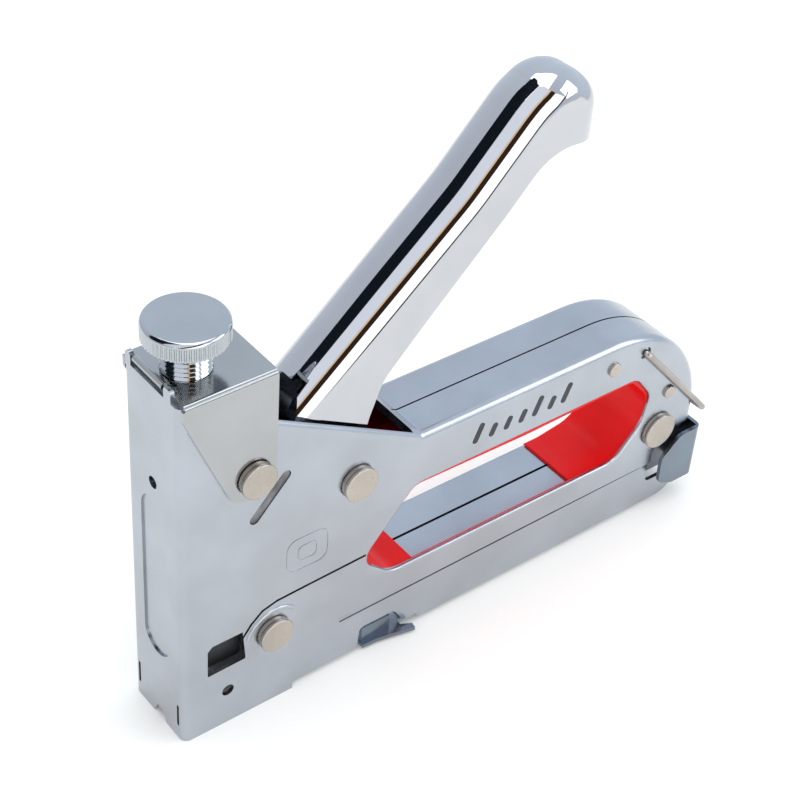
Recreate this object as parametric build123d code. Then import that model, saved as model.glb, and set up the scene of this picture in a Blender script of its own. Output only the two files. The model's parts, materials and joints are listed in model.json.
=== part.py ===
from build123d import *
import os
from math import cos, hypot, radians, sin, tan

# Hand tacker. +X runs from the nose to the tail, Y across it, +Z up from the nose's foot.

sheet = 1.2
halfWidth = 12.0
runGap = 0.06                         # radial running clearance of pins, stem and wire
sideGap = 0.3                         # between faces that pass each other

noseTop = 111.6
noseDepth = 26.2
gripTop = 71.0
gripFront = 73.5
tailEnd = 179.0
tailRadius = 38.0
railBottom = 0.8
railTop = 23.4
bandTop = 17.8                        # the lower rail is set in below this height
bandStep = 0.8
bandFront = 34.3
catchTop = 2.8
throatTop = 28.5                      # the tail is open below this, for the drawer

pivotX, pivotZ = 52.8, 65.0
pivotPin = 3.0
headRadius, headHeight = 5.1, 1.9
leverSheet = 1.4
leverHalf = 9.8
leverSwing = 36.0
armWidth = 8.6

knobX = 9.7
knobRadius, knobHeight = 10.55, 5.0
knobBottom = 121.6
stemRadius, threadPitch, threadDepth = 6.2, 1.25, 0.5
seatTop, seatHeight = 105.0, 2.4
hammerBottom, hammerHeight = 42.3, 17.5
hammerPin = 2.2
bladeThick, bladeHalf, bladeFront = 1.0, 5.6, 1.9
springWire, springRadius, springTurns = 1.5, 5.4, 6

guardWall = 1.0
channelWall = 1.0
stapleHalf, stapleWire = 5.6, 0.7
railHalf = 4.5
rodRadius, rodZ = 1.4, 11.0
wireRadius, bailHalf = 1.0, halfWidth + 1.3
bailX, bailZ = tailEnd - 25.7, 63.8
latchHalf, latchSheet = halfWidth + 3.1, 1.2

innerHalf = halfWidth - sheet
bandHalf = halfWidth - bandStep
bandInner = bandHalf - sheet


def outline(points):
    # closed X-Z face from (x, z, corner radius) triples
    edges, last, first = [], None, None
    count = len(points)
    for i, (x, z, r) in enumerate(points):
        px, pz, _ = points[i - 1]
        nx, nz, _ = points[(i + 1) % count]
        here = Vector(x, 0, z)
        back, ahead = Vector(px - x, 0, pz - z).normalized(), Vector(nx - x, 0, nz - z).normalized()
        if r > 0:
            half = radians(back.get_angle(ahead)) / 2
            start, end = here + back * (r / tan(half)), here + ahead * (r / tan(half))
            way = (back + ahead).normalized()
            edges.append(("arc", start, here + way * (r / sin(half) - r), end))
        else:
            start = end = here
            edges.append(("point", start, None, end))
    made = []
    for i, (kind, start, middle, end) in enumerate(edges):
        last = edges[i - 1][3]
        if (start - last).length > 1e-6:
            made.append(Line(last, start))
        if kind == "arc":
            made.append(ThreePointArc(start, middle, end))
    return make_face(Curve() + made)


def inset(points, depth):
    # the same run of points moved to the right of its direction, as the inside of a sheet
    moved = []
    for i, (x, z, r) in enumerate(points):
        before, after = points[max(i - 1, 0)], points[min(i + 1, len(points) - 1)]
        ways = [Vector(b[0] - a[0], b[1] - a[1]).normalized()
                for a, b in ((before, points[i]), (points[i], after)) if a != b]
        normals = [Vector(w.Y, -w.X) for w in ways]
        mean = (normals[0] + normals[-1]).normalized()
        step = depth / mean.dot(normals[0])
        moved.append((x + mean.X * step, z + mean.Y * step, max(r - depth, 0) if i else 0))
    return moved


def slab(points, y0, y1):
    return Pos(0, y0, 0) * extrude(outline(points), y1 - y0, dir=(0, 1, 0))


def block(x0, x1, y0, y1, z0, z1):
    return Pos((x0 + x1) / 2, (y0 + y1) / 2, (z0 + z1) / 2) * Box(x1 - x0, y1 - y0, z1 - z0)


def across(x, z, r, y0, y1):
    return Pos(x, (y0 + y1) / 2, z) * Rot(90, 0, 0) * Cylinder(r, y1 - y0)


def upright(x, y, r, z0, z1):
    return Pos(x, y, (z0 + z1) / 2) * Cylinder(r, z1 - z0)


def along(z, r, x0, x1):
    return Pos((x0 + x1) / 2, 0, z) * Rot(0, 90, 0) * Cylinder(r, x1 - x0)


def rivet(x, z, r, y, head, height):
    # a shank through both sides with a softened head on each, undercut where it is tall
    shape = across(x, z, r, -y - height / 2, y + height / 2)
    cut = 0.9 if height > 1.2 else 0.0
    for side in (-1, 1):
        disc = across(x, z, head, *sorted((side * (y + cut), side * (y + height))))
        rim = disc.edges().filter_by(GeomType.CIRCLE).sort_by(Axis.Y)[-1 if side > 0 else 0]
        shape += fillet(rim, min(height * 0.4, 0.4))
        if cut:
            shape += across(x, z, head - 0.25, *sorted((side * y, side * (y + 0.5))))
            shape += across(x, z, head - 0.9, *sorted((side * y, side * (y + height / 2))))
    return shape


def coil(radius, wire, height, turns, base):
    path = Helix(pitch=(height - 2 * wire) / turns, height=height - 2 * wire, radius=radius)
    section = Plane(origin=path @ 0, z_dir=path % 0) * Circle(wire)
    return base * Pos(0, 0, wire) * sweep(section, path=path, is_frenet=True)


parts = {}

# The body is one sheet folded round the nose: sides, grip flange and tail flange.

bodyLine = [
    (0, 0, 0), (bandFront, 0, 0.5), (bandFront + 0.3, railBottom, 0), (57.2, railBottom, 0.5),
    (57.6, 8.3, 1.2), (68.6, 8.3, 1.8), (72.0, catchTop, 0.4), (76.6, catchTop, 0.3),
    (77.9, railBottom, 0.4), (tailEnd, railBottom, 9), (tailEnd, gripTop, tailRadius),
    (gripFront, gripTop, 1.2), (noseDepth, 97.4, 2), (noseDepth, noseTop, 0),
    (0, noseTop, 0),
]
innerLine = [
    (sheet, -5, 0), (tailEnd + 5, -5, 0), (tailEnd + 5, throatTop, 0), (tailEnd - sheet, throatTop, 0),
    (tailEnd - sheet, gripTop - sheet, tailRadius - sheet), (gripFront - 3, gripTop - sheet, 0),
    (gripFront - 3, gripTop + 15, 0), (noseDepth + 3, 130, 0), (sheet, 130, 0),
]
bend, topBend = 2.2, 2.6
solid = slab(bodyLine, -halfWidth, halfWidth)
front = solid.edges().filter_by(Axis.Z).filter_by_position(Axis.X, -0.1, 0.1)
rims = [e for e in solid.edges() if abs(abs(e.center().Y) - halfWidth) < 0.01
        and (e.center().Z > gripTop - 0.1 and e.center().X > 80 or e.center().X > 165 and e.center().Z > 34
             and e.geom_type == GeomType.CIRCLE)]
solid = fillet(front, bend)
solid = fillet([e for e in solid.edges() if abs(abs(e.center().Y) - halfWidth) < 0.01
                and any((e.center() - k.center()).length < 0.5 for k in rims)], topBend)
hollow = slab(innerLine, -innerHalf, innerHalf)
hollow -= block(bandFront - 1, tailEnd + 6, -halfWidth, -bandInner, -6, bandTop + sheet)
hollow -= block(bandFront - 1, tailEnd + 6, bandInner, halfWidth, -6, bandTop + sheet)
hollow = fillet(hollow.edges().filter_by(Axis.Z).filter_by_position(Axis.X, sheet - 0.1, sheet + 0.1), bend - sheet)
body = solid - hollow
for side in (-1, 1):
    body -= block(bandFront, tailEnd + 1, *sorted((side * bandHalf, side * (halfWidth + 1))), -1, bandTop)

windowLine = [
    (66.0, 26.1, 9), (55.6, 35.0, 5), (72.0, 54.3, 6), (152.0, 54.6, 6), (159.2, 45.5, 6), (157.2, 36.0, 9),
    (148.5, 26.1, 8),
]
farLine = [
    (66.0, 22.3, 9), (55.6, 34.0, 5), (72.0, 54.3, 6), (152.0, 54.6, 6), (159.2, 45.5, 6), (157.4, 34.0, 9),
    (149.5, 22.3, 8),
]
rimRound = 0.8
for line, side in ((windowLine, -1), (farLine, 1)):
    body -= slab(line, *sorted((0, side * (halfWidth + 1))))
    rim = [e for e in body.edges() if abs(e.center().Y - side * halfWidth) < 0.01
           and 55 < e.center().X < 161 and 22 < e.center().Z < 56 and not 36.4 < e.center().Z < 38.0]
    body = fillet(rim, rimRound)
body -= block(gripFront - 5, tailEnd + 1, -0.25, 0.25, throatTop - 1, gripTop + 1)      # grip seam
for y in (-9.3, 9.3):
    body -= block(-1, sheet + 1, y - 0.45, y + 0.45, 4.8, 12.2)
body -= Pos(sheet / 2, 0, 82.0) * Rot(0, 90, 0) * Cylinder(1.7, sheet * 4)
body -= Pos(0, -0.6, 0) * extrude(Plane.YZ * Polygon((-3.4, -1), (-1.5, 3.4), (1.5, 3.4), (3.4, -1),
                                                     align=None), sheet * 3, both=True)
panel = Pos(0, 0, 50.5) * Rot(0, 90, 0) * SlotOverall(53.0, 11.6)
body -= Pos(-0.5, 0, 0) * extrude(panel, 1.0, dir=(1, 0, 0))
body += Pos(sheet - 0.05, 0, 0) * extrude(panel, 0.5, dir=(1, 0, 0))

# side openings: stop window, slit to the front rivet, inspection hole and the slanted slot
slitLine = [(17.5, 28.0), (20.6, 32.2), (24.0, 35.2), (28.4, 36.4), (38.8, 36.8), (56.5, 37.3)]
slit = None
for (xa, za), (xb, zb) in zip(slitLine, slitLine[1:]):
    length = hypot(xb - xa, zb - za)
    cut = Pos((xa + xb) / 2, 0, (za + zb) / 2) * Rot(0, -Vector(1, 0, 0).get_signed_angle(
        Vector(xb - xa, 0, zb - za), Vector(0, -1, 0)), 0) * Box(length + 0.7, 4 * halfWidth, 0.8)
    slit = cut if slit is None else slit + cut
windowCut = [(7.4, 20.6, 0.4), (7.4, 29.6, 0), (8.8, 31.0, 0), (18.0, 31.0, 0), (19.0, 20.9, 0.4)]
slantX, slantZ = 25.6, 73.3
for side in (-1, 1):
    ys = sorted((side * (innerHalf - 1), side * (halfWidth + 1)))
    body -= slab(windowCut, *ys)
    body -= slit & block(0, 60, *ys, 20, 45)
    body -= across(13.6, 12.1, 1.8, *ys)
    tilt = Pos(slantX, side * halfWidth, slantZ) * Rot(0, -48.4, 0) * Rot(90, 0, 0)
    body -= tilt * extrude(SlotOverall(16.4, 3.0), 3, both=True)

rivets = {
    "pivot_pin": (pivotX, pivotZ, pivotPin, headRadius, headHeight, 0.0),
    "bracket_rivet": (20.7, 82.6, 2.0, 5.0, headHeight, 1.0),
    "front_rivet": (27.9, 25.2, 1.9, headRadius, headHeight, 0.0),
    "tail_rivet": (164.5, 30.8, 3.0, 5.7, 1.7, 0.0),
    "grip_rivet": (141.4, 63.0, 1.4, 2.2, 0.9, 0.0),
    "corner_rivet": (166.3, 44.4, 1.4, 2.1, 0.9, 0.0),
}
for name, (x, z, r, head, height, out) in rivets.items():
    parts[name] = rivet(x, z, r, halfWidth + out, head, height)
    body -= across(x, z, r, -halfWidth - 2, halfWidth + 2)
latchCut = [
    (164.2, 9.5, 2), (164.2, 23.2, 2.5), (171.0, 25.6, 2), (175.6, throatTop, 0.8), (tailEnd + 1, throatTop, 0),
    (tailEnd + 1, 9.5, 0),
]
body -= slab(latchCut, -halfWidth - 1, halfWidth + 1)
body -= across(bailX, bailZ, wireRadius + runGap, -halfWidth - 1, halfWidth + 1)
for side in (-1, 1):
    body -= across(bailX, bailZ, wireRadius + 0.9, *sorted((side * (halfWidth - 0.5), side * (halfWidth + 1))))

# lugs at the head of the front face, either side of the bracket's cross bar
lugLine = [(-0.0, noseTop - 1.0), (-0.0, 114.2)]
for y0, y1 in ((8.4, 10.8), (-8.6, -5.6)):
    lug = block(0, sheet, y0, y1, noseTop - 1, 115.0)
    body += fillet(lug.edges().filter_by(Axis.X).sort_by(Axis.Z)[-2:], 1.1)
parts["body_shell"] = body

# Head bracket: a cap over the nose, held by its own rivet, with a cross bar at the front.

capTop = noseTop + 1.2
capHalf = halfWidth + 1.0
capLine = [
    (0.6, 108.5, 0.5), (13.8, 78.2, 2.5), (19.6, 76.0, 4), (26.6, 80.6, 2), (26.6, capTop, 0), (0.6, capTop, 0),
]
cap = slab(capLine, -capHalf, capHalf)
cap = fillet([e for e in cap.edges().filter_by(Axis.X) if e.center().Z > capTop - 0.1], 1.4)
cap -= block(-1, 40, -halfWidth, halfWidth, 60, noseTop)
cap -= block(-1, sheet + 0.02, -halfWidth - 2, halfWidth + 2, noseTop - 0.01, capTop + 1)
cap -= upright(knobX, 0, stemRadius + runGap, noseTop - 1, capTop + 1)
cap -= across(20.7, 82.6, 2.0, -capHalf - 1, capHalf + 1)
parts["head_bracket"] = cap
bar = Pos(0, 0, 113.9) * Rot(90, 0, 0) * Cylinder(0.9, 12.4)
parts["front_bar"] = Pos(0.8, 1.4, 0) * bar

# Force adjuster: plate nut, threaded stem with a milled knob, seat and main spring.

nut = block(sheet + 0.3, 20.0, -9.6, 9.6, noseTop - 5.0, noseTop)
nut = fillet(nut.edges().filter_by(Axis.Z), 1.0)
parts["adjuster_nut"] = nut - upright(knobX, 0, stemRadius + runGap, noseTop - 7, noseTop + 1)
stem = upright(knobX, 0, stemRadius - threadDepth, seatTop, knobBottom + 1)
rings = int((knobBottom - seatTop) / threadPitch)
for i in range(rings):
    z = seatTop + (i + 0.5) * threadPitch
    stem += Pos(knobX, 0, z) * (Cone(stemRadius, stemRadius - threadDepth, threadPitch / 2,
                                     align=(Align.CENTER, Align.CENTER, Align.MIN))
                                + Cone(stemRadius - threadDepth, stemRadius, threadPitch / 2,
                                       align=(Align.CENTER, Align.CENTER, Align.MAX)))
head = upright(knobX, 0, knobRadius, knobBottom, knobBottom + knobHeight)
head = fillet(head.edges().filter_by(GeomType.CIRCLE).sort_by(Axis.Z)[-1], 1.2)
flute = Cylinder(0.42, knobHeight - 1.2, align=(Align.CENTER, Align.CENTER, Align.MIN))
head -= [loc * flute for loc in PolarLocations(knobRadius + 0.12, 60)
         for loc in [Pos(knobX, 0, knobBottom - 0.01) * loc]]
parts["adjuster_knob"] = stem + head
seat = upright(knobX, 0, 7.0, seatTop - seatHeight, seatTop)
parts["spring_seat"] = seat + upright(knobX, 0, springRadius - springWire / 2 - 0.5,
                                      seatTop - seatHeight - 3, seatTop - seatHeight)
hammerTop = hammerBottom + hammerHeight
springLow, springHigh = hammerTop, seatTop - seatHeight
parts["main_spring"] = coil(springRadius, springWire / 2, springHigh - springLow - 0.1, springTurns,
                            Pos(knobX, 0, springLow + 0.05))

# Hammer with its cross pin, and the driver blade that it carries down the front wall.

pinLift = (pivotX - knobX) * tan(radians(leverSwing / 2))
pinZ = pivotZ - pinLift
hammer = block(bladeFront + bladeThick, 16.6, -7.6, 7.6, hammerBottom, hammerTop)
hammer = fillet(hammer.edges().filter_by(Axis.Z), 1.0)
hammer += upright(knobX, 0, springRadius - springWire / 2 - 0.5, hammerTop, hammerTop + 2.5)
parts["hammer"] = hammer - across(knobX, pinZ, hammerPin, -9, 9)
parts["hammer_pin"] = across(knobX, pinZ, hammerPin, -leverHalf - 0.4, leverHalf + 0.4)
blade = block(bladeFront, bladeFront + bladeThick, -bladeHalf, bladeHalf, 0.6, hammerTop - 1)
parts["driver_blade"] = blade
bumper = block(bladeFront + bladeThick + sideGap, 19.5, -8.4, 8.4, 19.6, hammerBottom - sideGap)
bumper -= block(12.5, 20, -9, 9, 32.5, hammerBottom)
parts["stop_block"] = fillet(bumper.edges().filter_by(Axis.Y), 0.8)

# Lever: pressed channel with a deep ear at the pivot and a fork that lifts the hammer pin.

lean = radians(leverSwing / 2)


def arm(r, off):
    return (pivotX - r * cos(lean) - off * sin(lean), pivotZ - r * sin(lean) + off * cos(lean))


reach = 48.6
leverTop = [
    (38.4, 97.4, 0), (83.4, 137.3, 60), (101.5, 156.8, 22), (113.5, 164.2, 12), (128.0, 151.4, 0),
]
leverUnder = [
    (128.0, 141.0, 0), (108.6, 143.2, 16), (95.4, 128.8, 60), (72.4, 105.6, 14), (60.4, 93.0, 12),
    (55.6, 80.0, 16), (57.6, 60.6, 8), (49.0, 55.2, 8),
    (*arm(30, -armWidth / 2), 6), (*arm(reach, -armWidth / 2), 2.2),
    (*arm(reach, armWidth / 2), 2.2), (*arm(25, armWidth / 2), 8), (30.6, 80.0, 10),
]


def planOf(half, tip):
    # upright prism with a round end, which gives the lever's tip its plan
    plan = Pos(tip / 2, 0, 0) * Rectangle(tip, 2 * half)
    plan = fillet(plan.vertices().sort_by(Axis.X)[-2:], half - 0.4)
    return Pos(0, 0, 20) * extrude(plan, 160)


def alongTop(edge):
    middle = edge @ 0.5
    high = middle.X > 45 and middle.Z > min(93.4 + (middle.X - 36.6) * 0.76, 148.8)
    return high and abs((edge @ 0).Y - (edge @ 1).Y) < 10


leverBend, tipX = 8.4, 126.0
lever = slab(leverTop + leverUnder, -leverHalf, leverHalf) & planOf(leverHalf, tipX)
lever = fillet([e for e in lever.edges() if alongTop(e)], leverBend)
for depth, half in ((leverSheet, 4.4), (3.4, 7.0), (6.4, leverHalf - leverSheet)):
    cavity = inset(leverTop, depth)
    (ax, az, _), (bx, bz, _) = cavity[:2]
    cavity[0] = (ax - (bx - ax) * 0.3, az - (bz - az) * 0.3, 0)
    cavity += [(cavity[-1][0], 130, 0), (72.4, 90, 0), (72.4, 40, 0), (-5, 30, 0), (-5, 70, 0)]
    lever -= slab(cavity, -half, half) & planOf(half, tipX - leverHalf + half)
slotGap = 0.35
forkIn = 40.3
slotStart = arm(forkIn, 0)
fork = [(*arm(forkIn, -hammerPin - slotGap), 0), (*arm(60, -hammerPin - slotGap), 0),
        (*arm(60, hammerPin + slotGap), 0), (*arm(forkIn, hammerPin + slotGap), 0)]
lever -= slab(fork, -halfWidth, halfWidth)
lever -= across(pivotX, pivotZ, pivotPin + runGap, -halfWidth, halfWidth)
parts["lever"] = lever
sleeve = across(pivotX, pivotZ, pivotPin + 1.6, -leverHalf + leverSheet + sideGap, leverHalf - leverSheet - sideGap)
parts["pivot_sleeve"] = sleeve - across(pivotX, pivotZ, pivotPin, -halfWidth, halfWidth)
for name, x, z, r, outer in (("tail_spacer", 164.5, 30.8, 3.0, 4.6), ("grip_spacer", 141.4, 63.0, 1.4, 3.0),
                             ("corner_spacer", 166.3, 44.4, 1.4, 3.0)):
    tube = across(x, z, outer, -innerHalf, innerHalf)
    parts[name] = tube - across(x, z, r, -halfWidth, halfWidth)

# Finger guard: a moulded loop that lines the window and fills its lower corners.

guardHalf = innerHalf - 0.02
guardOuter = [
    (62.0, railTop, 3), (53.8, 35.0, 5), (71.2, 56.2, 6), (152.6, 56.6, 7), (161.2, 46.0, 6),
    (159.6, 33.6, 8), (153.5, railTop, 4),
]
guardInner = [
    (75.4, 20.0, 0), (75.4, 24.3, 0), (66.5, 24.5, 8), (56.5, 35.0, 5), (72.8, 53.1, 5), (112.0, 52.4, 60),
    (151.4, 53.3, 5), (158.6, 45.3, 6), (156.9, 35.6, 12), (150.6, 26.2, 10), (138.0, 24.2, 12),
    (133.0, 24.2, 0), (133.0, 20.0, 0),
]
guard = slab(guardOuter, -guardHalf, guardHalf) - slab(guardInner, -halfWidth, halfWidth)
lip = [e for e in guard.edges() if abs(e.center().Y - guardHalf) < 0.01 and 133.5 < e.center().X
       and 24.0 < e.center().Z < 45 and e.center().X < 153.5 + (e.center().Z - 24) * 0.36]
guard = fillet(lip, 0.7)
guard += block(64, 146, -guardHalf, -bandInner - 0.05, railTop - 2, 25.5)
parts["finger_guard"] = guard

# Staple channel between the sides, with the slotted top seen through the window.

channelFront, channelBack = 33.6, 163.6
channelHalf = bandInner - 0.02
channel = block(channelFront, channelBack, -channelHalf, channelHalf, 1.2, railTop)
channel -= block(channelFront - 1, channelBack + 1, -channelHalf + channelWall, channelHalf - channelWall,
                 1.2 + channelWall, railTop - channelWall)
channel -= block(channelFront - 1, channelBack + 1, -6.6, 6.6, 0, 3)
channel += block(44, 160, -channelHalf, channelHalf, railTop - channelWall, railTop)
channel -= block(50, 150, -0.4, 0.4, railTop - 2, railTop + 1)
parts["staple_channel"] = channel

# Drawer: staple rail, guide rod and rear latch, all drawn out together at the tail.

plateX = tailEnd + 0.9
rail = block(4.0, plateX, -railHalf, railHalf, 5.2, 17.0)
rail -= block(3, plateX, -railHalf + 0.8, railHalf - 0.8, 4, 16.2)
rail -= block(50.0, 168.0, -1.3, 1.3, 16, 18)              # slot for the pusher's neck
parts["staple_rail"] = rail
parts["guide_rod"] = along(rodZ, rodRadius, 30, plateX)
latchLine = [
    (166.0, 11.0, 3), (172.0, 8.6, 2), (plateX + latchSheet, 8.6, 0), (plateX + latchSheet, 26.8, 0),
    (172.4, 26.8, 4), (165.6, 20.6, 3.5),
]
latch = slab(latchLine, -latchHalf, latchHalf)
latch = fillet(latch.edges().filter_by(Axis.Z).filter_by_position(Axis.X, plateX + 1, plateX + 2), 2.4)
latch -= block(160, plateX, -latchHalf + latchSheet, latchHalf - latchSheet, 0, 40)
parts["rear_latch"] = latch
parts["end_plug"] = block(172.0, plateX, -3.4, 3.4, 8.0, 14.0) - along(rodZ, rodRadius, 170, plateX + 1)
stapleEnd = 56.0
strip = block(bladeFront + bladeThick + 0.1, stapleEnd, -stapleHalf, stapleHalf, 4.4, 17.0 + stapleWire)
strip -= block(0, stapleEnd + 1, -railHalf - 0.05, railHalf + 0.05, 4, 17.0)
parts["staple_strip"] = strip
pusher = block(stapleEnd + 0.2, stapleEnd + 14, -stapleHalf, stapleHalf, 6.0, 19.0)
pusher -= block(stapleEnd, stapleEnd + 15, -railHalf - 0.3, railHalf + 0.3, 5, 17.3)
tongue = block(stapleEnd + 9, stapleEnd + 12, -2.4, 2.4, 7.6, 14.4) - along(rodZ, rodRadius + runGap, 50, 80)
tongue += block(stapleEnd + 9, stapleEnd + 12, -1.0, 1.0, 14.4, 17.3)
parts["pusher"] = pusher
parts["pusher_collar"] = tongue
springStart = stapleEnd + 12
parts["pusher_spring"] = coil(2.4, 0.4, 172.0 - springStart - 0.1, 30,
                              Pos(springStart + 0.05, 0, rodZ) * Rot(0, 90, 0))

# Curved catch in the rail's lower edge and the hinged locking wire at the tail.

catchPlan = Polygon((58.2, -channelHalf), (58.2, -11.7), (63.0, -12.0), (68.0, -12.9), (74.4, -14.4),
                    (74.7, -12.6), (71.6, -11.2), (71.6, -channelHalf), align=None)
catch = Pos(0, 0, railBottom + 0.1) * extrude(catchPlan, 1.2)
catch += block(58.4, 68.0, -channelHalf - 0.6, -channelHalf, railBottom + 0.1, 7.4)
parts["rail_catch"] = catch

bailEnd = (tailEnd + 3.1, 31.9)
path = FilletPolyline((bailX, -bandInner, bailZ), (bailX, -bailHalf, bailZ), (bailEnd[0], -bailHalf, bailEnd[1]),
                      (bailEnd[0], bailHalf, bailEnd[1]), (bailX, bailHalf, bailZ), (bailX, bandInner, bailZ),
                      radius=1.6)
parts["wire_bail"] = sweep(Plane(origin=path @ 0, z_dir=path % 0) * Circle(wireRadius), path=path)

os.makedirs("parts", exist_ok=True)
for name, shape in parts.items():
    export_step(shape, f"parts/{name}.step")
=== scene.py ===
import json
import math

import bpy
from mathutils import Matrix, Vector

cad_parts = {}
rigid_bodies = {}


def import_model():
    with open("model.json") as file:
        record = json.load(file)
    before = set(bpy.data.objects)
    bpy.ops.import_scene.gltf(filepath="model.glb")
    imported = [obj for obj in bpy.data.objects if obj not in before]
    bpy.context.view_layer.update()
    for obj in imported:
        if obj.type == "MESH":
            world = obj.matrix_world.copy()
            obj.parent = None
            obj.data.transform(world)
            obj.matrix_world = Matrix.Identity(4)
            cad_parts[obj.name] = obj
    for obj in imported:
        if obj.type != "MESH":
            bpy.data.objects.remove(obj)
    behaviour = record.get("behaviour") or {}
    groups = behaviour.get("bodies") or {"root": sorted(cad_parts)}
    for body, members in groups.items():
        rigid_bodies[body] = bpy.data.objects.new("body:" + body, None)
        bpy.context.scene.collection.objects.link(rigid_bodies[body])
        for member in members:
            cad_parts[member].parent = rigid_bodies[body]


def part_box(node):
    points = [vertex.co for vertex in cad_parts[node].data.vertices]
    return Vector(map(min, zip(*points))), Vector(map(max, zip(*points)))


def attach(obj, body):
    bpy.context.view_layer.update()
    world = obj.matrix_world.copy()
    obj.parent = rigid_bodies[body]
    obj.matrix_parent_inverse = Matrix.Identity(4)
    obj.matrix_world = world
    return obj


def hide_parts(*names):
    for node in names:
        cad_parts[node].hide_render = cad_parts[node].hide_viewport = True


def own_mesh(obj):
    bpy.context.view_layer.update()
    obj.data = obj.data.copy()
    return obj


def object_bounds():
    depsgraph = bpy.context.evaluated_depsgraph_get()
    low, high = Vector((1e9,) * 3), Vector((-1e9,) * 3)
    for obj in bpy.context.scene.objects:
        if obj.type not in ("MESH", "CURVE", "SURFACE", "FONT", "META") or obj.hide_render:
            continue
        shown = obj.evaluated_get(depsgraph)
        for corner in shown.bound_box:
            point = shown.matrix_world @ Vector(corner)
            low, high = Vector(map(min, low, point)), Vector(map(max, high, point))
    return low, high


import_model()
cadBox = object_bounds()
print("frame loaded")

# finishes: main and dark tint, roughness, and how strongly the grain shows

platedBody = {"colour": (0.450, 0.476, 0.520), "dark": (0.400, 0.425, 0.455),
              "roughness": 0.24, "grain": 0.035}
platedCap = {"colour": (0.425, 0.435, 0.440), "dark": (0.385, 0.395, 0.400),
             "roughness": 0.13, "grain": 0.02}
leverChrome = {"colour": (0.545, 0.552, 0.570), "dark": (0.515, 0.522, 0.545),
               "roughness": 0.035, "grain": 0.006}
knobChrome = {"colour": (0.475, 0.495, 0.515), "dark": (0.43, 0.455, 0.475),
              "roughness": 0.09, "grain": 0.008}
rivetNickel = {"colour": (0.50, 0.455, 0.405), "dark": (0.42, 0.38, 0.335),
               "roughness": 0.27, "grain": 0.06}
wireNickel = {"colour": (0.43, 0.395, 0.365), "dark": (0.34, 0.31, 0.285),
              "roughness": 0.25, "grain": 0.05}
latchZinc = {"colour": (0.20, 0.25, 0.30), "dark": (0.20, 0.20, 0.235), "roughness": 0.20, "grain": 0.05}
railSteel = {"colour": (0.45, 0.485, 0.53), "dark": (0.40, 0.435, 0.48), "roughness": 0.22, "grain": 0.04}
drawerSteel = {"colour": (0.20, 0.21, 0.225), "dark": (0.14, 0.148, 0.16),
               "roughness": 0.30, "grain": 0.06}
hammerSteel = {"colour": (0.14, 0.145, 0.155), "dark": (0.08, 0.085, 0.09),
               "roughness": 0.42, "grain": 0.15}
springSteel = {"colour": (0.36, 0.37, 0.39), "dark": (0.26, 0.27, 0.29), "roughness": 0.28, "grain": 0.05}
stapleWire = {"colour": (0.60, 0.61, 0.63), "dark": (0.50, 0.51, 0.53), "roughness": 0.25, "grain": 0.05}
roughFloor = {"colour": (0.50, 0.50, 0.52), "dark": (0.06, 0.06, 0.065), "roughness": 0.34, "grain": 0.9,
              "grainScale": 2400.0}
guardRed = {"colour": (0.80, 0.008, 0.009), "dark": (0.70, 0.004, 0.005), "roughness": 0.30, "gloss": 0.20,
            "grain": 0.12}
stopBlack = {"colour": (0.018, 0.018, 0.021), "dark": (0.01, 0.01, 0.012), "roughness": 0.5, "gloss": 0.5,
             "grain": 0.12}
inkBlack = {"colour": (0.016, 0.018, 0.022), "dark": (0.009, 0.010, 0.013), "roughness": 0.42, "gloss": 0.5,
            "grain": 0.05, "grainScale": 2500.0}

metalTexture = {"cloudScale": 55.0, "cloudDetail": 4.0, "tintFrom": 0.35, "tintTo": 0.65,
                "polishScale": 260.0, "polishDetail": 6.0, "polishLow": 0.8, "polishHigh": 1.25,
                "grainScale": 900.0, "grainDetail": 3.0}
mouldedTexture = {"cloudScale": 90.0, "cloudDetail": 2.0, "tintFrom": 0.0, "tintTo": 0.6,
                  "grainScale": 1600.0, "grainDetail": 2.0}
grainDepth = 0.0002


def link(tree, a, outName, b, inName):
    tree.links.new(a.outputs[outName], b.inputs[inName])


def noise(tree, place, scale, detail):
    made = tree.nodes.new("ShaderNodeTexNoise")
    made.inputs["Scale"].default_value = scale
    made.inputs["Detail"].default_value = detail
    link(tree, place, "Object", made, "Vector")
    return made


def tintAndGrain(tree, shader, place, finish, texture):
    # cloudy mix of the two tints, and a fine grain as bump
    cloud = noise(tree, place, texture["cloudScale"], texture["cloudDetail"])
    tint = tree.nodes.new("ShaderNodeValToRGB")
    ends = (("dark", "tintFrom"), ("colour", "tintTo"))
    for element, (shade, position) in zip(tint.color_ramp.elements, ends):
        element.position = texture[position]
        element.color = (*finish[shade], 1)
    link(tree, cloud, "Fac", tint, "Fac")
    link(tree, tint, "Color", shader, "Base Color")
    grain = noise(tree, place, finish.get("grainScale", texture["grainScale"]), texture["grainDetail"])
    bump = tree.nodes.new("ShaderNodeBump")
    bump.inputs["Strength"].default_value = finish["grain"]
    bump.inputs["Distance"].default_value = grainDepth
    link(tree, grain, "Fac", bump, "Height")
    link(tree, bump, "Normal", shader, "Normal")


def metalFinish(name, finish):
    # plated metal, a little unevenly polished
    made = bpy.data.materials.new(name)
    made.use_nodes = True
    tree = made.node_tree
    shader = tree.nodes["Principled BSDF"]
    shader.inputs["Metallic"].default_value = 1.0
    place = tree.nodes.new("ShaderNodeTexCoord")
    tintAndGrain(tree, shader, place, finish, metalTexture)
    polish = noise(tree, place, metalTexture["polishScale"], metalTexture["polishDetail"])
    spread = tree.nodes.new("ShaderNodeMapRange")
    spread.inputs["To Min"].default_value = finish["roughness"] * metalTexture["polishLow"]
    spread.inputs["To Max"].default_value = finish["roughness"] * metalTexture["polishHigh"]
    link(tree, polish, "Fac", spread, "Value")
    link(tree, spread, "Result", shader, "Roughness")
    return made


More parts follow.
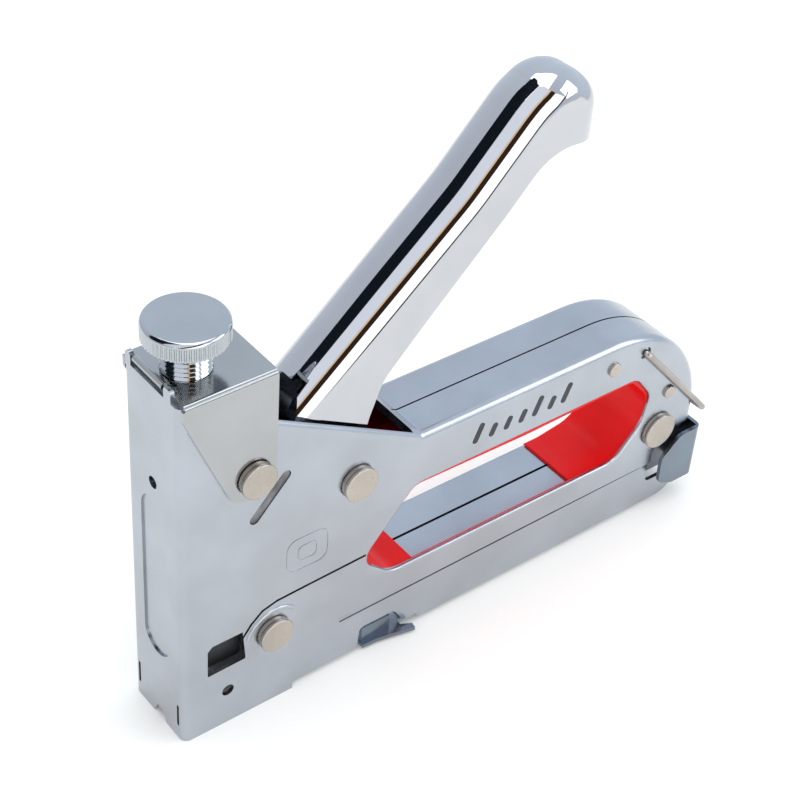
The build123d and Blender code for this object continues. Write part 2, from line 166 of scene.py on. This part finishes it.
def mouldedFinish(name, finish):
    # moulded plastic, rubber or dry ink
    made = bpy.data.materials.new(name)
    made.use_nodes = True
    tree = made.node_tree
    shader = tree.nodes["Principled BSDF"]
    shader.inputs["Roughness"].default_value = finish["roughness"]
    shader.inputs["Specular IOR Level"].default_value = finish["gloss"]
    tintAndGrain(tree, shader, tree.nodes.new("ShaderNodeTexCoord"), finish, mouldedTexture)
    return made


bodyFinish = metalFinish("bodyPlate", platedBody)
slotFinish = metalFinish("slotSteel", roughFloor)
inkFinish = mouldedFinish("markInk", inkBlack)
finishOf = [
    (bodyFinish, ["body_shell"]),
    (metalFinish("capPlate", platedCap), ["head_bracket", "front_bar"]),
    (metalFinish("leverChrome", leverChrome), ["lever"]),
    (metalFinish("knobChrome", knobChrome), ["adjuster_knob"]),
    (metalFinish("rivetNickel", rivetNickel),
     ["pivot_pin", "bracket_rivet", "front_rivet", "tail_rivet", "grip_rivet", "corner_rivet"]),
    (metalFinish("wireNickel", wireNickel), ["wire_bail"]),
    (metalFinish("latchZinc", latchZinc), ["rear_latch", "rail_catch"]),
    (metalFinish("railSteel", railSteel), ["staple_channel"]),
    (metalFinish("drawerSteel", drawerSteel),
     ["staple_rail", "guide_rod", "end_plug", "pusher", "pusher_collar"]),
    (metalFinish("hammerSteel", hammerSteel),
     ["adjuster_nut", "pivot_sleeve", "tail_spacer", "grip_spacer", "corner_spacer", "hammer", "hammer_pin",
      "driver_blade", "spring_seat"]),
    (metalFinish("springSteel", springSteel), ["main_spring", "pusher_spring"]),
    (metalFinish("stapleWire", stapleWire), ["staple_strip"]),
    (mouldedFinish("guardRed", guardRed), ["finger_guard"]),
    (mouldedFinish("stopRubber", stopBlack), ["stop_block"]),
]
for finish, nodes in finishOf:
    for node in nodes:
        nodeMesh = bpy.data.objects[node].data
        nodeMesh.materials.clear()
        nodeMesh.materials.append(finish)
print("materials set")

# helpers for the new pieces

smoothAngle = 35
cornerSegments = 6


def clearPick():
    bpy.ops.object.select_all(action="DESELECT")


def startPick(kind):
    # edit mode with nothing picked, then back, so that code can pick
    bpy.ops.object.mode_set(mode="EDIT")
    bpy.ops.mesh.select_all(action="DESELECT")
    bpy.ops.mesh.select_mode(type=kind)
    bpy.ops.object.mode_set(mode="OBJECT")


def settle(piece, name, finish, body):
    # name it and give it its finish, place into the mesh, smooth by angle and ride
    piece.name = name
    piece.data.name = name
    piece.data.materials.clear()
    piece.data.materials.append(finish)
    bpy.ops.object.transform_apply(location=True, rotation=True, scale=True)
    bpy.ops.object.shade_smooth_by_angle(angle=math.radians(smoothAngle))
    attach(piece, body)


def roundedBar(centre, wide, tall, thick, lean, corner):
    # flat bar standing on an XZ face: a cube whose four upright corners are bevelled round
    clearPick()
    bpy.ops.mesh.primitive_cube_add(size=1, location=centre)
    bar = bpy.context.object
    bar.scale = (wide, thick, tall)
    bpy.ops.object.transform_apply(location=False, rotation=False, scale=True)
    startPick("EDGE")
    for edge in bar.data.edges:
        a, b = (bar.data.vertices[v].co for v in edge.vertices)
        edge.select = abs(a.y - b.y) > thick / 2
    bpy.ops.object.mode_set(mode="EDIT")
    bpy.ops.mesh.bevel(offset=corner, segments=cornerSegments, affect="EDGES")
    bpy.ops.object.mode_set(mode="OBJECT")
    bar.rotation_euler = (0, math.radians(lean), 0)
    bpy.ops.object.transform_apply(location=False, rotation=True, scale=False)
    return bar


def joined(pieces):
    clearPick()
    for piece in pieces:
        piece.select_set(True)
    bpy.context.view_layer.objects.active = pieces[0]
    bpy.ops.object.join()
    return bpy.context.object


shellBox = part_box("body_shell")
sides = (("Near", 1, shellBox[0][1]), ("Far", -1, shellBox[1][1]))  # inwards sign and face's y

# printed mark on the grip, a generic row of slanted bars

printMark = {"from": (0.0925, 0.0615), "step": 0.0052, "lean": 22, "wide": 0.0019, "thick": 0.00005,
             "short": 0.0044, "tall": (0.0066, 0.0044, 0.0044, 0.0044, 0.0066, 0.0044, 0.0066),
             "corner": 0.00085}
for sideName, side, face in sides:
    y = face - side * printMark["thick"] / 2
    bars = []
    for i, tall in enumerate(printMark["tall"]):
        raised = (tall - printMark["short"]) / 2  # all stand on one line
        centre = (printMark["from"][0] + i * printMark["step"], y, printMark["from"][1] + raised)
        bars.append(roundedBar(centre, printMark["wide"], tall, printMark["thick"], printMark["lean"],
                               printMark["corner"]))
    settle(joined(bars), "gripMark" + sideName, inkFinish, "frame")
print("grip marks made")

# pressed outline of a rounded panel on the nose's sides

noseFrame = {"at": (0.0376, 0.0492), "ring": 0.0003, "thick": 0.00024,
             "outer": {"wide": 0.0130, "tall": 0.0112, "corner": 0.0032},
             "inner": {"wide": 0.0060, "tall": 0.0052, "corner": 0.0016}}


def frameRing(centre, size, ring, thick):
    # thin raised ring: bevelled bar, inset on its two faces, then bridged through
    bar = roundedBar(centre, size["wide"], size["tall"], thick, 0, size["corner"])
    startPick("FACE")
    for flat in bar.data.polygons:
        flat.select = abs(flat.normal.y) > 0.9
    bpy.ops.object.mode_set(mode="EDIT")
    bpy.ops.mesh.inset(thickness=ring, depth=0)
    bpy.ops.mesh.bridge_edge_loops()
    bpy.ops.object.mode_set(mode="OBJECT")
    return bar


for sideName, side, face in sides:
    centre = (noseFrame["at"][0], face, noseFrame["at"][1])
    rings = [frameRing(centre, noseFrame[size], noseFrame["ring"], noseFrame["thick"])
             for size in ("outer", "inner")]
    settle(joined(rings), "noseFrame" + sideName, bodyFinish, "frame")
print("nose frames made")

# rough steel floor of the slanted slots

slotFloor = {"at": (0.0256, 0.0733), "long": 0.0160, "wide": 0.00285, "thick": 0.0005, "lean": -48.4,
             "below": 0.0003, "round": 0.48}
for sideName, side, face in sides:
    y = face + side * (slotFloor["below"] + slotFloor["thick"] / 2)
    plate = roundedBar((slotFloor["at"][0], y, slotFloor["at"][1]), slotFloor["long"], slotFloor["wide"],
                       slotFloor["thick"], slotFloor["lean"], slotFloor["wide"] * slotFloor["round"])
    settle(plate, "slotFloor" + sideName, slotFinish, "frame")
print("slot floors made")

# raised lip round the front rivet and pressed crease along the rail

rivetLip = {"at": (0.0279, 0.0252), "radius": 0.0083, "half": 0.00062, "from": 42, "to": 172, "turns": 96,
            "round": 16, "sink": 0.00018}
railCrease = {"from": (0.0494, 0.0163), "to": (0.1602, 0.0175), "thick": 0.00044, "sink": 0.00012,
              "corner": 0.000198}


def beadArc(centre, lip):
    # part of a torus standing on an XZ face, its two ends closed flat
    clearPick()
    bpy.ops.mesh.primitive_torus_add(major_radius=lip["radius"], minor_radius=lip["half"],
                                     major_segments=lip["turns"], minor_segments=lip["round"],
                                     location=(0, 0, 0), rotation=(math.pi / 2, 0, 0))
    bead = bpy.context.object
    bpy.ops.object.transform_apply(location=False, rotation=True, scale=False)
    startPick("VERT")
    for vertex in bead.data.vertices:
        turn = math.degrees(math.atan2(vertex.co.z, vertex.co.x)) % 360
        vertex.select = not lip["from"] - 0.1 <= turn <= lip["to"] + 0.1
    bpy.ops.object.mode_set(mode="EDIT")
    bpy.ops.mesh.delete(type="VERT")
    bpy.ops.mesh.select_all(action="SELECT")
    bpy.ops.mesh.region_to_loop()
    bpy.ops.mesh.edge_face_add()
    bpy.ops.mesh.select_all(action="SELECT")
    bpy.ops.mesh.normals_make_consistent(inside=False)
    bpy.ops.object.mode_set(mode="OBJECT")
    bead.location = centre
    return bead


for sideName, side, face in sides:
    bead = beadArc((rivetLip["at"][0], face + side * rivetLip["sink"], rivetLip["at"][1]), rivetLip)
    settle(bead, "rivetLip" + sideName, bodyFinish, "frame")
    (x0, z0), (x1, z1) = railCrease["from"], railCrease["to"]
    centre = ((x0 + x1) / 2, face + side * railCrease["sink"], (z0 + z1) / 2)
    crease = roundedBar(centre, math.hypot(x1 - x0, z1 - z0), railCrease["thick"], railCrease["thick"],
                        -math.degrees(math.atan2(z1 - z0, x1 - x0)), railCrease["corner"])
    settle(crease, "railCrease" + sideName, bodyFinish, "frame")
print("lips and creases made")

# coil springs: copies of the CAD springs, each riding on the part that holds it; the originals are hidden

springs = {
    "mainSpring": {"node": "main_spring", "body": "adjuster_carriage", "joint": "hammer_lift", "axis": 2},
    "pusherSpring": {"node": "pusher_spring", "body": "drawer", "joint": "pusher_slide", "axis": 0},
}
for springName, spring in springs.items():
    low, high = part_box(spring["node"])
    coil = bpy.data.objects.new(springName, bpy.data.objects[spring["node"]].data.copy())
    bpy.context.collection.objects.link(coil)
    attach(coil, spring["body"])
    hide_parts(spring["node"])
    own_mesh(coil)
print("springs made")

# floor

floorSettings = {"size": 6.0, "colour": (0.95, 0.93, 0.87), "roughness": 0.9, "glow": 0.08}


def glowFinish(name, colour, glowColour, glow):
    made = bpy.data.materials.new(name)
    made.use_nodes = True
    shader = made.node_tree.nodes["Principled BSDF"]
    shader.inputs["Base Color"].default_value = (*colour, 1)
    shader.inputs["Emission Color"].default_value = (*glowColour, 1)
    shader.inputs["Emission Strength"].default_value = glow
    return made, shader


bpy.ops.mesh.primitive_plane_add(size=floorSettings["size"], location=(0, 0, cadBox[0][2]))
floor = bpy.context.object
floor.name = "floor"
floorFinish, floorShader = glowFinish("floorPaper", floorSettings["colour"], (1, 1, 1), floorSettings["glow"])
floorShader.inputs["Roughness"].default_value = floorSettings["roughness"]
floor.data.materials.append(floorFinish)

# soft lamps, turned towards the middle of the object

lamps = {
    "overheadSoftbox": {"at": (0.05, 0.05, 1.2), "size": 1.0, "power": 6.0},
    "leftSoftbox": {"at": (-0.9, -0.9, 0.45), "size": 0.7, "power": 2.5},
    "rightSoftbox": {"at": (1.0, -0.8, 0.7), "size": 0.8, "power": 4.0},
}
middle = [(cadBox[0][i] + cadBox[1][i]) / 2 for i in range(3)]
for lampName, lamp in lamps.items():
    away = [lamp["at"][i] - middle[i] for i in range(3)]
    flat = math.hypot(away[0], away[1])
    turn = (math.atan2(flat, away[2]), 0, math.atan2(away[1], away[0]) + math.pi / 2)
    bpy.ops.object.light_add(type="AREA", location=lamp["at"], rotation=turn)
    light = bpy.context.object
    light.name = lampName
    light.data.size = lamp["size"]
    light.data.energy = lamp["power"]

# cards laid along the lever, mirrored in it as light, dark and warm streaks; angles turn round the lever
# from its top's normal towards the near side

cardSettings = {"axis": (0.748, 0, 0.6634), "above": (-0.6634, 0, 0.748), "near": (0, -1, 0),
                "at": (0.0609, 0, 0.1174), "long": 1.3}
cards = {
    "blackCard": {"from": -34.0, "to": 4, "far": 0.9, "colour": (0.010, 0.014, 0.022)},
    "paleCard": {"from": 5, "to": 43, "far": 0.9, "colour": (1.15, 1.20, 1.32)},
    "goldCard": {"from": 44, "to": 48, "far": 0.9, "colour": (1.25, 0.90, 0.50)},
    "brownCard": {"from": 48, "to": 64, "far": 0.9, "colour": (0.055, 0.028, 0.016)},
    "whiteCard": {"from": 65, "to": 97, "far": 0.9, "colour": (2.4, 2.4, 2.4)},
    "lineCard": {"from": 99, "to": 103, "far": 0.6, "colour": (0.03, 0.03, 0.035)},
}
axis, above, near = (Vector(cardSettings[way]) for way in ("axis", "above", "near"))
for cardName, card in cards.items():
    low, high = (math.radians(card[end]) for end in ("from", "to"))
    middleTurn = (low + high) / 2
    away = above * math.cos(middleTurn) + near * math.sin(middleTurn)
    wide = 2 * card["far"] * math.tan((high - low) / 2)
    turned = Matrix((axis.cross(away) * wide, axis * cardSettings["long"], away)).transposed().to_4x4()
    bpy.ops.mesh.primitive_plane_add(size=1)
    sheet = bpy.context.object
    sheet.name = cardName
    sheet.matrix_world = Matrix.Translation(Vector(cardSettings["at"]) + away * card["far"]) @ turned
    bpy.ops.object.transform_apply(location=True, rotation=True, scale=True)
    paint, paintShader = glowFinish(cardName, (0, 0, 0), card["colour"], 1.0)
    paintShader.inputs["Specular IOR Level"].default_value = 0
    sheet.data.materials.append(paint)
    sheet.visible_camera = False
    sheet.visible_diffuse = False
    sheet.visible_shadow = False

# sky, dimmer and warmer on the nose's side

skySettings = {"towards": (0.8, 0.4, 0.1), "from": -0.6, "to": 0.9,
               "low": (0.66, 0.68, 0.75), "high": (0.85, 0.96, 1.10), "strength": 1.0}
world = bpy.data.worlds.new("studio")
bpy.context.scene.world = world
world.use_nodes = True
skyTree = world.node_tree
skyPlace = skyTree.nodes.new("ShaderNodeTexCoord")
skySide = skyTree.nodes.new("ShaderNodeVectorMath")
skySide.operation = "DOT_PRODUCT"
skySide.inputs[1].default_value = skySettings["towards"]
link(skyTree, skyPlace, "Generated", skySide, 0)
skySpan = skyTree.nodes.new("ShaderNodeMapRange")
skySpan.inputs["From Min"].default_value = skySettings["from"]
skySpan.inputs["From Max"].default_value = skySettings["to"]
link(skyTree, skySide, "Value", skySpan, "Value")
skyTint = skyTree.nodes.new("ShaderNodeValToRGB")
skyTint.color_ramp.elements[0].color = (*skySettings["low"], 1)
skyTint.color_ramp.elements[1].color = (*skySettings["high"], 1)
link(skyTree, skySpan, "Result", skyTint, "Fac")
link(skyTree, skyTint, "Color", skyTree.nodes["Background"], "Color")
skyTree.nodes["Background"].inputs["Strength"].default_value = skySettings["strength"]
bpy.context.scene.view_settings.view_transform = "Standard"

# camera

cameraSettings = {"aim": (0.07891, 0.00511, 0.06837), "azimuth": -40.55, "elevation": 38.91, "roll": 4.59,
                  "distance": 0.48899, "lens": 83.39, "sensor": 36.0, "clip": 0.01}
azimuth = math.radians(cameraSettings["azimuth"])
elevation = math.radians(cameraSettings["elevation"])
back = (math.sin(azimuth) * math.cos(elevation), -math.cos(azimuth) * math.cos(elevation),
        math.sin(elevation))
spot = [cameraSettings["aim"][i] + back[i] * cameraSettings["distance"] for i in range(3)]
bpy.ops.object.camera_add(location=spot, rotation=(math.pi / 2 - elevation, 0, azimuth))
camera = bpy.context.object
camera.rotation_euler.rotate_axis("Z", math.radians(cameraSettings["roll"]))
camera.data.sensor_width = cameraSettings["sensor"]
camera.data.lens = cameraSettings["lens"]
camera.data.clip_start = cameraSettings["clip"]
bpy.context.scene.camera = camera
print("camera and lights set")
